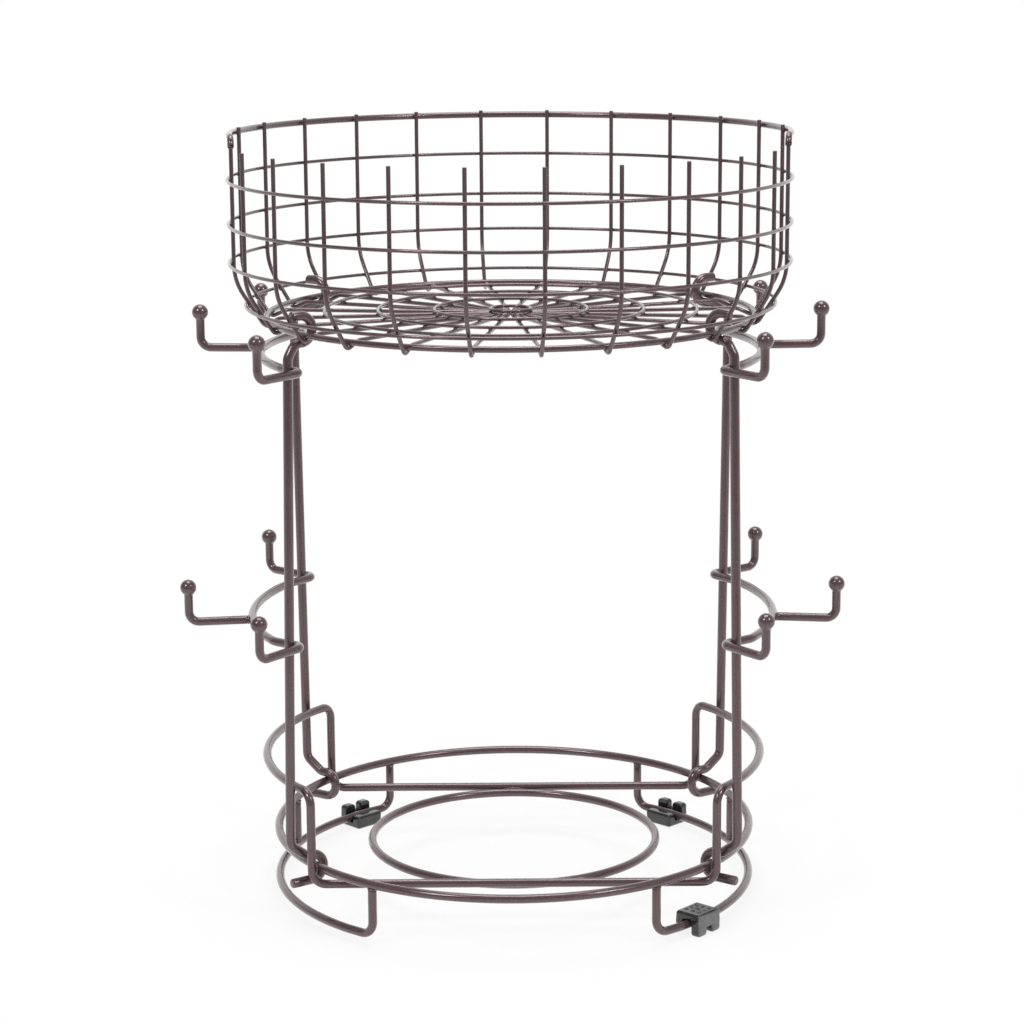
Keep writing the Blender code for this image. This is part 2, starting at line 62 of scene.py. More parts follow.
UP = Vector((0, 0, 1))
RIGHT = Vector((1, 0, 0))
FRAME_WIRE = 0.0050
BEAD_FIELDS = ("across", "along", "spread")
# How far a weld bead spreads along its wire, beside it and across the gap, in wire radii
SPREADS = {
    "butt": (1.12, 1.12, 0.5),
    "guard post": (1.05, 0.75, 0.4),
    "chord": (3.0, 0.7, 0.35),
    "leg": (1.1, 0.8, 0.4),
    "hoop": (1.0, 1.0, 0.45),
    "floor ring": (1.15, 1.0, 0.45),
    "rim": (1.3, 1.0, 0.5),
}


# Sizes and colours


def node_level(node):
    """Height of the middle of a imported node."""
    low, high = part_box(node)
    return (low.z + high.z) / 2


def node_reach(node, thickness):
    """Centreline radius of a packed ring made of wire of a thickness."""
    low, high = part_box(node)
    return (high.x - low.x - thickness) / 2


def length(name, description, default):
    """Size in metres, for a property group."""
    return FloatProperty(
        name=name, description=description, default=default, precision=4, unit="LENGTH"
    )


def lengths(name, description, *defaults):
    """Sizes in metres that belong together, for a property group."""
    kind = {"size": len(defaults), "precision": 4, "unit": "LENGTH"}
    return FloatVectorProperty(name=name, description=description, default=defaults, **kind)


def angle(name, description, degrees):
    """Angle for a property group, given in degrees."""
    kind = {"default": math.radians(degrees), "subtype": "ANGLE", "unit": "ROTATION"}
    return FloatProperty(name=name, description=description, **kind)


def count(name, description, default):
    """Whole number for a property group."""
    return IntProperty(name=name, description=description, default=default, min=6)


def share(name, description, default):
    """Number between nothing and all, for a property group."""
    kind = {"default": default, "min": 0.0, "max": 1.0, "subtype": "FACTOR"}
    return FloatProperty(name=name, description=description, **kind)


def power(name, description, default):
    """Lamp power in watts, for a property group."""
    kind = {"default": default, "min": 0.0, "unit": "POWER"}
    return FloatProperty(name=name, description=description, **kind)


def colour(name, description, *default):
    """Linear colour for a property group."""
    kind = {"default": default, "size": 3, "min": 0.0, "max": 1.0, "subtype": "COLOR"}
    return FloatVectorProperty(name=name, description=description, **kind)


class WireSizes(bpy.types.PropertyGroup):
    """Wire diameters, and how finely the wires are drawn."""

    frame: length("Frame wire", "Thickness of the rings, foot wires, guard and hooks", FRAME_WIRE)
    leg: length("Leg wire", "Thickness of the four legs", 0.0055)
    rim: length("Rim wire", "Thickness of the basket's rim", 0.0038)
    floor_ring: length("Floor ring wire", "Thickness of the ring under the basket's wall", 0.0036)
    basket: length("Basket wire", "Thickness of the basket's uprights and spokes", 0.0024)
    hoop: length("Hoop wire", "Thickness of the basket's hoops", 0.0020)
    gap: length("Weld gap", "Space between two wires that are welded together", 0.0003)
    edge: share("Rounded end", "Rounding of a cut wire end, as a share of its radius", 0.4)
    ball: length("Ball", "Diameter of the ball at a hook's tip", 0.0094)
    bend_step: angle("Bend step", "Turn between two points of a bend", 6.0)
    sides: count("Sides", "Sides of a thick wire's tube", 32)
    thin_sides: count("Thin sides", "Sides of a thin wire's tube", 20)
    ring_points: count("Ring points", "Points round a full ring", 192)


class BaseSizes(bpy.types.PropertyGroup):
    """The lower tier: base ring, foot wires, plate guard and inner ring."""

    radius: length("Ring radius", "Radius of the base ring", node_reach("base_ring", FRAME_WIRE))
    height: length("Base height", "Height of the base ring", node_level("base_ring"))
    foot_height: length("Foot wire height", "Height of the foot wires, inside their pads", 0.0065)
    foot_half: angle("Foot half angle", "Half of the angle that a foot wire spans", 55.5)
    foot_bend: length("Foot bend", "Bend radius of a foot wire's turned-up ends", 0.0080)
    strut: angle("Strut angle", "Angle from the side to its strut", 18.0)
    post_spacing: length("Post spacing", "From a leg's plane to the guard post beside it", 0.0087)
    chord_drop: length("Chord drop", "From the base ring down to the guard's chords", 0.0088)
    guard_height: length("Guard height", "From the base ring up to the side arcs", 0.0450)
    guard_reach: length("Guard reach", "How far a side arc stands out beyond the ring", 0.0060)
    guard_bend: length("Guard bend", "Bend radius of the guard's corners", 0.0080)
    seat: angle("Inner ring seat", "Slope at which the inner ring lies against the chords", 29.0)


class LegSizes(bpy.types.PropertyGroup):
    """The four legs, hooked round both rings."""

    front: angle("Front leg angle", "Angle from the side to each front leg", 34.5)
    rear: angle("Rear leg angle", "Angle from the side to each rear leg", 33.0)
    front_standoff: lengths("Front standoff", "From the rings out to foot and head", 0.0136, 0.0082)
    rear_standoff: lengths("Rear standoff", "From the rings out to foot and head", 0.0142, 0.0172)
    hook: length("Hook radius", "Bend radius of the hooks round the rings", 0.0075)
    neck: length("Neck", "From the ring out to where the leg starts to slant", 0.0035)
    slant: length("Slant rise", "Height of the slanted part at foot and head", 0.0079)
    tails: lengths("Tails", "How far foot and head run out past the rings", 0.0135, 0.0060)
    bend: length("Leg bend", "Bend radius of the slanted part", 0.0065)


class HookSizes(bpy.types.PropertyGroup):
    """Hook wires round both legs of a side, and the hook at the middle of each."""

    lower: length("Lower hooks", "From the base ring up to the lower hooks", 0.1290)
    upper_drop: length("Upper hook drop", "From the legs' heads down to the upper hooks", 0.0080)
    reaches: lengths("Arc reaches", "From the ring out to lower and upper arc", 0.0125, 0.0040)
    approach: length("Approach", "Straight part of the arc before it turns round a leg", 0.0160)
    arc_bend: length("Arc bend", "Bend radius where the arc straightens", 0.0120)
    arm: length("Arm", "From the leg out to the stem", 0.0310)
    front_splay: angle("Front arm splay", "Turn of a front arm away from the leg's plane", 19.0)
    rear_splay: angle("Rear arm splay", "Turn of a rear arm away from the leg's plane", 3.5)
    lower_turn: angle("Lower side hook angle", "From the side back to the lower hook", -8.0)
    upper_turn: angle("Upper side hook angle", "From the side back to the upper hook", 4.0)
    side_arm: length("Side arm", "From the arc out to the side hook's stem", 0.0367)
    stem: length("Stem rise", "From the arm up to the ball's middle", 0.0205)
    stem_bend: length("Stem bend", "Bend radius between arm and stem", 0.0060)


class BasketSizes(bpy.types.PropertyGroup):
    """The upper tier: uprights with spokes, rim, floor ring and hoops."""

    height: length("Basket height", "Height of the floor ring", node_level("basket_floor_ring"))
    count: count("Uprights", "Number of upright wires", 24)
    turn: angle("Basket turn", "Turn of the basket about the rack's axis", -1.0)
    flare: length("Flare", "How far the wall stands out beyond the floor ring", 0.0178)
    slant: angle("Wall slant", "Lean of the wall's lower part", 33.0)
    wall_bend: length("Wall bend", "Bend radius between slanted and upright wall", 0.0320)
    climb: angle("Spoke climb", "Slope at which a spoke comes up past the floor ring", 25.0)
    spoke_bend: length("Spoke bend", "Bend radius where a spoke levels out", 0.0080)
    rim_rise: length("Rim rise", "From the floor ring up to the rim", 0.1025)
    rim_bend: length("Rim bend", "Bend radius of the rim's turned-in ends", 0.0048)
    rear_top: length("Rear top", "How far the rear uprights stand above the rim", 0.0030)
    front_top: length("Front top", "How far the front uprights end below the rim", 0.0055)
    hoops: lengths("Wall hoops", "Heights above the floor ring", 0.0785, 0.0535, 0.0315, 0.0075)
    floor_hoops: lengths(
        "Floor hoops", "Radii of the hoops on the spokes", 0.1070, 0.0765, 0.0440, 0.0115
    )


class PadSizes(bpy.types.PropertyGroup):
    """Moulded foot pads, clipped over the foot wires."""

    length: length("Pad length", "Along the wire", 0.0200)
    width: length("Pad width", "Across the wire", 0.0180)
    height: length("Pad height", "From the sole to the top of the high wall", 0.0130)
    corner: length("Pad corner", "Rounding of the pad's outer edges", 0.0016)
    taper: share("Taper", "How much the block narrows down to its sole", 0.04)
    dome: length("Dome", "Rounding of the high wall's two lobes", 0.0022)
    clearance: length("Channel clearance", "Between the wire and each side of its channel", 0.0007)
    inner_rise: length("Low wall rise", "From the wire's middle up to the low wall's top", 0.0018)
    notch: length("Notch width", "Space between the lobes of the high wall", 0.0040)
    notch_depth: length("Notch depth", "Depth of the notch in the high wall", 0.0042)
    dimple: length("Dimple", "Width of a dimple in the sole", 0.0022)
    dimple_depth: length("Dimple depth", "Depth of a dimple in the sole", 0.0009)
    pitch: length("Dimple pitch", "Distance between dimples", 0.0045)
    rear_inset: length("Rear inset", "From a foot wire's rear bend to its pad", 0.0052)
    front_inset: length("Front inset", "From a foot wire's front bend to its pad", 0.0150)
    voxel: length("Mould grain", "Size of the cells that round the pad's edges", 0.00028)


class Finishes(bpy.types.PropertyGroup):
    """Colours and gloss of the paint and of the pads."""

    paint: colour("Paint", "Bronze-brown paint of every wire", 0.112, 0.070, 0.077)
    worn: colour("Thin paint", "Redder, thinner paint between the mottles", 0.098, 0.048, 0.053)
    paint_roughness: share("Paint roughness", "Blur of the paint's own reflections", 0.23)
    paint_metal: share("Paint metal", "How metallic the paint is", 0.42)
    lacquer: share("Lacquer", "Clear gloss over the paint", 0.80)
    pad: colour("Pad", "Black soft plastic of the pads", 0.012, 0.011, 0.012)
    # This pale grey paints a sheen of light on the pads' outer walls, and tints their dull patches
    # a little.
    pad_grain_and_sheen: colour("Pad grain", "Matt grain on the pads' outer walls", 0.165, 0.160, 0.166)
    pad_roughness: share("Pad roughness", "Blur of the pads' reflections", 0.18)
    pad_skin: share("Pad skin", "Glossy skin over the pads' plastic", 0.60)


class StageSizes(bpy.types.PropertyGroup):
    """Floor, backdrop, lamps and camera."""

    floor: colour("Floor", "Colour of the floor and the backdrop", 0.92, 0.92, 0.92)
    world: share("Room light", "Strength of the light from all round", 0.40)
    dim: share("Dim front", "Brightness of the mirrored room in front of the rack", 0.30)
    right: share("Right side", "How white the mirrored room's right side is", 0.25)
    dark_from: length("Dim floor", "Where the mirrored floor in front is dim", -1.7)
    white_from: length("White floor", "Where the mirrored floor in front is white", -0.25)
    near: share("Near floor", "How white the floor is in its own right under the rack", 0.85)
    key: power("Key lamp", "Power of the lamp at the front left", 14.0)
    fill: power("Fill lamp", "Power of the lamp at the front right", 11.0)
    top: power("Top lamp", "Power of the lamp overhead", 26.0)
    lens: FloatProperty(name="Lens", description="Focal length in millimetres", default=96.7)
    distance: length("Camera distance", "From the rack's axis, along the floor", 1.572)
    eye: length("Camera height", "Height of the camera", 0.5594)
    tilt: angle("Camera tilt", "How far the camera looks down", 12.05)
    roll: FloatProperty(
        name="Camera roll", description="Turn about the view", default=-0.0062, subtype="ANGLE"
    )


# Node trees


class Field:
    """Output of a node that can be reckoned with: each operation adds its Math node."""

    def __init__(self, nodes, socket):
        self.nodes = nodes
        self.socket = socket

    def reckon(self, operation, other):
        """Math node on this field and another field or a number."""
        return self.nodes.add("ShaderNodeMath", {"operation": operation}, self, other)

    def __add__(self, other):
        return self.reckon("ADD", other)

    def __mul__(self, other):
        return self.reckon("MULTIPLY", other)

    def most(self, other):
        """The greater of the two."""
        return self.reckon("MAXIMUM", other)

    __radd__ = __add__
    __rmul__ = __mul__


class NodeTree:
    """Tree whose nodes are added one by one."""

    def __init__(self, tree):
        self.tree = tree

    def add(self, kind, settings=None, *values, output=0, **named):
        """Add a node: its settings first, then its sockets, in order or by name (_ for a space)."""
        node = self.tree.nodes.new(kind)
        for key, value in (settings or {}).items():
            setattr(node, key, value)
        for socket, value in zip(node.inputs, values):
            self.feed(socket, value)
        for key, value in named.items():
            self.feed(node.inputs[key.replace("_", " ")], value)
        return Field(self, node.outputs[output])

    def feed(self, socket, value):
        """Link a socket to a field or set it to a value; None leaves it as it is."""
        if isinstance(value, Field):
            self.tree.links.new(value.socket, socket)
        elif value is not None:
            socket.default_value = value


class ShaderTree(NodeTree):
    """Shader nodes of a material or of the room's light."""

    def __init__(self, owner):
        owner.use_nodes = True
        super().__init__(owner.node_tree)

    def background_rays(self):
        """One where the background is seen, mirrored or seen through glass, and else nothing."""
        kinds = ("Is Camera Ray", "Is Glossy Ray", "Is Transmission Ray")
        seen, mirrored, through = (self.add("ShaderNodeLightPath", output=kind) for kind in kinds)
        return seen.most(mirrored).most(through)

    def spread(self, value, low, high, start=0.0, end=1.0):
        """Map a field from one range to another, held inside it."""
        return self.add("ShaderNodeMapRange", {"clamp": True}, value, low, high, start, end)

    def part(self, place, axis):
        """One coordinate of a place: 0, 1 or 2."""
        return self.add("ShaderNodeSeparateXYZ", {}, place, output=axis)

    def reach(self, place):
        """Distance of a place from the origin."""
        return self.add("ShaderNodeVectorMath", {"operation": "LENGTH"}, place, output=1)

    def mix(self, factor, first, second):
        """Mix of two shaders."""
        return self.add("ShaderNodeMixShader", {}, factor, first, second)

    def white_room(self, kind, mirrored, dim):
        """The room as the camera sees it, white; its mirror image is dim where a field is low."""
        camera = self.add("ShaderNodeLightPath", output="Is Camera Ray")
        dark = self.add(kind, {}, (dim, dim, dim, 1.0), 1.0)
        white = self.add(kind, {}, (1.0, 1.0, 1.0, 1.0), 1.0)
        return self.mix(camera.most(mirrored), dark, white)


class Finish(ShaderTree):
    """Node tree of one material, with its Principled shader."""

    def __init__(self, name):
        self.material = bpy.data.materials.new(name)
        super().__init__(self.material)
        self.shader = self.tree.nodes["Principled BSDF"]
        self.place = self.add("ShaderNodeTexCoord", output="Object")

    def noise(self, scale, detail, roughness):
        """Noise over the piece; the scale counts its blotches in a metre."""
        named = {"Scale": scale, "Detail": detail, "Roughness": roughness}
        return self.add("ShaderNodeTexNoise", Vector=self.place, **named)

    def blend(self, factor, first, second):
        """Blend of two colours, whose sockets come after five of other kinds."""
        values = (factor, *[None] * 5, (*first, 1.0), (*second, 1.0))
        return self.add("ShaderNodeMix", {"data_type": "RGBA"}, *values, output=2)

    def bump(self, height, strength, distance):
        """Bump that feeds the shader's normal."""
        named = {"Strength": strength, "Distance": distance, "Height": height}
        self.set(Normal=self.add("ShaderNodeBump", **named))

    def set(self, **values):
        """Set the shader's sockets by name, with spaces written as underscores."""
        for key, value in values.items():
            self.feed(self.shader.inputs[key.replace("_", " ")], value)


class ShapeTree(NodeTree):
    """Geometry Nodes tree with named inputs, which repeats a shape round the upright axis."""

    def __init__(self, name, **inputs):
        super().__init__(bpy.data.node_groups.new(name, "GeometryNodeTree"))
        self.tree.is_modifier = True
        copies = {"Copies": "Int", "Azimuth": "Float", "Pitch": "Float", "Lift": "Float"}
        inputs = {"Geometry": "Geometry", **inputs, **copies, "Finish": "Material"}
        interface = self.tree.interface
        interface.new_socket("Geometry", in_out="OUTPUT", socket_type="NodeSocketGeometry")
        for key, kind in inputs.items():
            interface.new_socket(key, in_out="INPUT", socket_type="NodeSocket" + kind)
        self.inlet = self.tree.nodes.new("NodeGroupInput")

    def read(self, name):
        """Named input of the tree."""
        return Field(self, self.inlet.outputs[name])

    def repeat_round_axis(self, shape):
        """End the tree: copies of a shape round the axis, lifted, realized and painted."""
        turn = self.read("Azimuth") + self.add("GeometryNodeInputIndex") * self.read("Pitch")
        copies = self.add(
            "GeometryNodeInstanceOnPoints",
            Points=self.add("GeometryNodePoints", Count=self.read("Copies")),
            Instance=shape,
            Rotation=self.add("ShaderNodeCombineXYZ", Z=turn),
        )
        lift = self.add("ShaderNodeCombineXYZ", Z=self.read("Lift"))
        lifted = self.add("GeometryNodeTransform", Geometry=copies, Translation=lift)
        realized = self.add("GeometryNodeRealizeInstances", Geometry=lifted)
        smooth = self.add("GeometryNodeSetShadeSmooth", Geometry=realized)
        finish = self.read("Finish")
        done = self.add("GeometryNodeSetMaterial", Geometry=smooth, Material=finish)
        self.feed(self.tree.nodes.new("NodeGroupOutput").inputs[0], done)
        return self.tree


def wire_tree(name):
    """Sweep the object's centreline to a round tube, and repeat it round the axis."""
    tree = ShapeTree(name, Thickness="Float", Sides="Int")
    line = tree.add("GeometryNodeMeshToCurve", Mesh=tree.read("Geometry"))
    section = {"Resolution": tree.read("Sides"), "Radius": tree.read("Thickness") * 0.5}
    tube = tree.add(
        "GeometryNodeCurveToMesh",
        Curve=line,
        Profile_Curve=tree.add("GeometryNodeCurvePrimitiveCircle", **section),
        Scale=tree.add("GeometryNodeInputNamedAttribute", Name="swell"),
        Fill_Caps=True,
    )
    return tree.repeat_round_axis(tube)


def bead_tree(name):
    """Put a flat weld bead on each of the object's points, and repeat them round the axis."""
    tree = ShapeTree(name, Thickness="Float")
    radius = tree.read("Thickness") * 0.5
    vector = {"data_type": "FLOAT_VECTOR"}
    across, along, spread = (
        tree.add("GeometryNodeInputNamedAttribute", vector, Name=key) for key in BEAD_FIELDS
    )
    axes = {"primary_axis": "Z", "secondary_axis": "X"}
    beads = tree.add(
        "GeometryNodeInstanceOnPoints",
        Points=tree.read("Geometry"),
        Instance=tree.add("GeometryNodeMeshUVSphere", Segments=12, Rings=6, Radius=radius),
        Rotation=tree.add("FunctionNodeAxesToRotation", axes, across, along),
        Scale=spread,
    )
    return tree.repeat_round_axis(beads)


TREES = {"round_wire": wire_tree, "weld_beads": bead_tree}


# Finishes


def painted_wire(name, finishes):
    """Satin bronze-brown paint: faint mottle and orange peel under a clear gloss."""
    paint = Finish(name)
    mottle = paint.noise(scale=38.0, detail=3.0, roughness=0.55)
    grain = paint.noise(scale=420.0, detail=2.0, roughness=0.5)
    peel = paint.noise(scale=1100.0, detail=1.0, roughness=0.4)
    thin = paint.spread(mottle, 0.40, 0.66) * 0.55 + paint.spread(grain, 0.52, 0.72) * 0.25
    glossiest = finishes.paint_roughness - 0.05
    dullest = finishes.paint_roughness + 0.07
    paint.set(
        Base_Color=paint.blend(thin, finishes.paint, finishes.worn),
        Roughness=paint.spread(grain, 0.3, 0.7, glossiest, dullest),
        Metallic=finishes.paint_metal,
        Coat_Weight=finishes.lacquer,
        Coat_Roughness=0.15,
    )
    paint.bump(peel * 0.6 + grain * 0.4, strength=0.08, distance=0.00025)


def soft_black(name, finishes, wall):
    """Glossy black plastic with dull patches; from the outer wall's radius on, a dull grain and a
    pale painted sheen.
    """
    black = Finish(name)
    skin = black.noise(scale=900.0, detail=2.0, roughness=0.5)
    patches = black.noise(scale=160.0, detail=3.0, roughness=0.6)
    product = {"operation": "MULTIPLY"}
    level_place = black.add("ShaderNodeVectorMath", product, black.place, (1.0, 1.0, 0.0))
    reach = black.reach(level_place)
    fade = 0.0006
    # Outer-wall mask: rougher there for the grain, and pale there as a painted sheen of light.
    matt_and_sheen = black.spread(reach, wall - fade, wall) * black.spread(patches, 0.3, 0.6, 0.6, 1.0)
    glossiest = finishes.pad_roughness - 0.04
    dullest = finishes.pad_roughness + 0.12
    # Pale: the painted sheen on the outer walls, plus random pale patches.
    pale = matt_and_sheen + black.spread(patches, 0.5, 0.75) * 0.2
    black.set(
        Base_Color=black.blend(pale, finishes.pad, finishes.pad_grain_and_sheen),
        Roughness=black.spread(patches, 0.35, 0.7, glossiest, dullest) + matt_and_sheen * 0.35,
        Coat_Weight=finishes.pad_skin,
        Coat_Roughness=0.10,
    )
    black.bump(skin, strength=0.25, distance=0.00015)


# Centrelines: a corner is a point with its bend radius, and a row is a point with its share of
# the wire's thickness


def polar(radius, azimuth, height=0.0):
    """Point at a distance and an angle from the upright axis."""
    return Vector((radius * math.cos(azimuth), radius * math.sin(azimuth), height))


def arc(centre, radius, start, end, steps, height=0.0):
    """Points along a level arc."""
    angles = (start + (end - start) * step / steps for step in range(steps + 1))
    return [centre + polar(radius, azimuth, height) for azimuth in angles]


def sharp(points):
    """Corners that stay as they are."""
    return [(point, 0.0) for point in points]


def even(points):
    """Rows of a wire at its full thickness."""
    return [(point, 1.0) for point in points]


def bracket(points, ends, bend, room, end_bend=0.0):
    """Corners of an arc that turns off to a point at either end; room counts the points that
    each bend takes up."""
    first, last = ends
    middle = [(points[0], bend), *sharp(points[room:-room]), (points[-1], bend)]
    return [(first, end_bend), *middle, (last, end_bend)]


def bent(corners):
    """Centreline of a wire through corners, each rounded to its bend radius."""
    step_angle = bpy.context.scene.rack_wires.bend_step
    points = []
    for index, (corner, radius) in enumerate(corners):
        turn = 0.0
        if radius:
            before = (corners[index - 1][0] - corner).normalized()
            after = (corners[(index + 1) % len(corners)][0] - corner).normalized()
            turn = math.pi - before.angle(after)
        if turn < step_angle / 8:
            points.append(corner)
            continue
        centre = corner + (before + after).normalized() * radius / math.cos(turn / 2)
        spoke = corner + before * radius * math.tan(turn / 2) - centre
        axis = after.cross(before).normalized()
        steps = max(2, math.ceil(turn / step_angle))
        for step in range(steps + 1):
            points.append(centre + Matrix.Rotation(turn * step / steps, 3, axis) @ spoke)
    return points


def rounded_end(points, thickness):
    """Rows that round off a wire's first end, over a quarter turn in four steps."""
    edge = bpy.context.scene.rack_wires.edge
    tip = points[0]
    inward = (points[1] - tip).normalized() * (thickness / 2) * edge
    rows = []
    for step in range(5):
        slope = math.radians(step * 22.5)
        rows.append((tip + inward * (1 - math.cos(slope)), 1 - edge + edge * math.sin(slope)))
    return rows


def wire_rows(corners, thickness, ball=()):
    """Rows of an open wire, with rounded ends, or with a ball in place of the last one."""
    points = bent(corners)
    last = ball or rounded_end(points[::-1], thickness)[::-1]
    return rounded_end(points, thickness) + even(points[1:-1]) + last


# Pieces


def placed(name, data):
    """New object in the scene."""
    made = bpy.data.objects.new(name, data)
    bpy.context.scene.collection.objects.link(made)
    return made


def plain_mesh(made):
    """Mesh of an object with its modifiers applied."""
    graph = bpy.context.evaluated_depsgraph_get()
    return bpy.data.meshes.new_from_object(made.evaluated_get(graph), depsgraph=graph)


def fit_to_rack(piece, nodes=()):
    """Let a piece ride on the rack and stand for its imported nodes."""
    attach(piece, "root")
    if nodes:
        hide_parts(*nodes)


def solid_from_tree(tree, name, base, slot, **values):
    """Run a tree with its inputs' values on a base mesh, and keep the result as a plain mesh."""
    values = {"copies": 1, "azimuth": 0.0, "pitch": 0.0, "lift": 0.0, **values}
    values["finish"] = bpy.data.materials[slot + "_paint"]
    holder = placed(name + "_path", base)
    modifier = holder.modifiers.new("tree", "NODES")
    modifier.node_group = bpy.data.node_groups.get(tree) or TREES[tree](tree)
    for item in modifier.node_group.interface.items_tree:
        if item.in_out == "INPUT" and item.name != "Geometry":
            modifier[item.identifier] = values[item.name.lower()]
    holder.update_tag()
    mesh = plain_mesh(holder)
    mesh.name = name
    bpy.data.objects.remove(holder)
    bpy.data.meshes.remove(base)
    if not mesh.polygons:
        raise RuntimeError(name + " came out empty")
    return placed(name, mesh)


def path_mesh(name, rows, closed):
    """Mesh of bare edges along a wire's rows."""
    points, swells = zip(*rows)
    edges = [(index, index + 1) for index in range(len(points) - 1)]
    if closed:
        edges.append((len(points) - 1, 0))
    mesh = bpy.data.meshes.new(name)
    mesh.from_pydata(points, edges, [])
    mesh.attributes.new("swell", "FLOAT", "POINT").data.foreach_set("value", swells)
    return mesh


def wire_piece(part, rows, thickness, nodes=(), closed=False, **copies):
    """One wire, or equal wires round the axis, swept along its rows and standing for its nodes."""
    nodes = nodes or (part,)
    wires = bpy.context.scene.rack_wires
    slot = "basket_wire" if nodes[0].startswith(("basket", "floor")) else "frame_wire"
    copies["sides"] = wires.thin_sides if thickness < wires.rim else wires.sides
    copies["thickness"] = thickness
    name = "painted_" + part
    path = path_mesh(name, rows, closed)
    fit_to_rack(solid_from_tree("round_wire", name, path, slot, **copies), nodes)


def ring_piece(part, radius, thickness, lift, nodes=()):
    """Closed ring, standing for its node."""
    steps = bpy.context.scene.rack_wires.ring_points
    rows = even(arc(Vector(), radius, 0.0, 2 * math.pi, steps)[:-1])
    wire_piece(part, rows, thickness, nodes, closed=True, lift=lift)


def bead_piece(name, beads, slot, **copies):
    """Weld beads, each given by its point, its ways across the gap and along, and its spread."""
    mesh = bpy.data.meshes.new(name)
    mesh.from_pydata([bead[0] for bead in beads], [], [])
    for number, key in enumerate(BEAD_FIELDS, 1):
        flat = [value for bead in beads for value in bead[number]]
        mesh.attributes.new(key, "FLOAT_VECTOR", "POINT").data.foreach_set("vector", flat)
    fit_to_rack(solid_from_tree("weld_beads", name, mesh, slot, **copies))


# Operators


class RACK_OT_mix_finishes(bpy.types.Operator):
    """Mix the paint of the wires and the black of the pads"""

    bl_idname = "rack.mix_finishes"
    bl_label = "Finishes"

    def execute(self, context):
        finishes = context.scene.rack_finishes
        painted_wire("frame_wire_paint", finishes)
        painted_wire("basket_wire_paint", finishes)
        pads = context.scene.rack_pads
        wall = context.scene.rack_base.radius + pads.width / 2 - pads.corner / 4
        soft_black("foot_pad_black", finishes, wall)
        return {"FINISHED"}


class RACK_OT_make_base(bpy.types.Operator):
    """Make the base ring, the foot wires and their struts"""

    bl_idname = "rack.make_base"
    bl_label = "Base"

    def execute(self, context):
        wires = context.scene.rack_wires
        base = context.scene.rack_base
        ring_piece("base_ring", base.radius, wires.frame, base.height)
        top = base.height - wires.frame / 2 - wires.gap
        bottom = base.foot_height + wires.frame / 2 + wires.gap
        half = base.foot_half
        foot = arc(Vector(), base.radius, -half, half, steps=64, height=base.foot_height)
        ends = [polar(base.radius, -half, top), polar(base.radius, half, top)]
        foot_rows = wire_rows(bracket(foot, ends, base.foot_bend, room=4), wires.frame)
        ends = [polar(base.radius, 0.0, bottom), polar(base.radius, 0.0, top)]
        strut_rows = wire_rows(sharp(ends), wires.frame)
        sides = (("right", 0.0, base.strut), ("left", math.pi, math.pi - base.strut))
        for side, middle, strut in sides:
            wire_piece("foot_wire_" + side, foot_rows, wires.frame, azimuth=middle)
            wire_piece("side_strut_" + side, strut_rows, wires.frame, azimuth=strut)
        return {"FINISHED"}


class RACK_OT_make_pads(bpy.types.Operator):
    """Mould the three foot pads, the front one turned over"""

    bl_idname = "rack.make_pads"
    bl_label = "Foot pads"

    def execute(self, context):
        pads = context.scene.rack_pads
        base = context.scene.rack_base
        mould = moulded_pad(pads, base.radius, context.scene.rack_wires)
        end = base.foot_half - (base.foot_bend + pads.length / 2) / base.radius
        rear = end - pads.rear_inset / base.radius
        front = pads.front_inset / base.radius - end
        places = {
            "rear_left": (math.pi - rear, 0.0),
            "rear_right": (rear, 0.0),
            "front_right": (front, math.pi),
        }
        for where, (azimuth, roll) in places.items():
            mesh = mould.copy()
            mesh.name = "moulded_pad_" + where
            spot = Matrix.Translation(polar(base.radius, azimuth, base.foot_height))
            spot = spot @ Matrix.Rotation(azimuth, 4, "Z")
            mesh.transform(spot @ Matrix.Rotation(roll, 4, "X"))
            mesh.materials.append(bpy.data.materials["foot_pad_black"])
            fit_to_rack(placed(mesh.name, mesh), ["foot_pad_" + where])
        bpy.data.meshes.remove(mould)
        return {"FINISHED"}


def shaped(name, shape):
    """Object of a shape made in mesh code."""
    mesh = bpy.data.meshes.new(name)
    shape.to_mesh(mesh)
    shape.free()
    return placed(name, mesh)


def box_object(name, low, high, rounding):
    """Box between two corners, with rounded edges."""
    shape = bmesh.new()
    fit = Matrix.Translation((low + high) / 2) @ Matrix.Diagonal((*(high - low), 1.0))
    bmesh.ops.create_cube(shape, size=1.0, matrix=fit)
    round_off = {"offset": rounding, "segments": 6, "profile": 0.5, "affect": "EDGES"}
    bmesh.ops.bevel(shape, geom=shape.edges[:], **round_off)
    return shaped(name, shape)


def dimple_grid(pads):
    """Three rows of three round cutters under the sole."""
    shape = bmesh.new()
    flare = pads.dimple_depth / 4
    cutter = {
        "cap_ends": True,
        "segments": 24,
        "radius1": pads.dimple / 2 + flare,
        "radius2": pads.dimple / 2 - flare,
        "depth": 2 * pads.dimple_depth,
    }
    for column in (-1, 0, 1):
        for row in (-1, 0, 1):
            spot = Vector((column * pads.pitch, row * pads.pitch, -pads.height / 2))
            bmesh.ops.create_cone(shape, matrix=Matrix.Translation(spot), **cutter)
    return shaped("pad_dimples", shape)


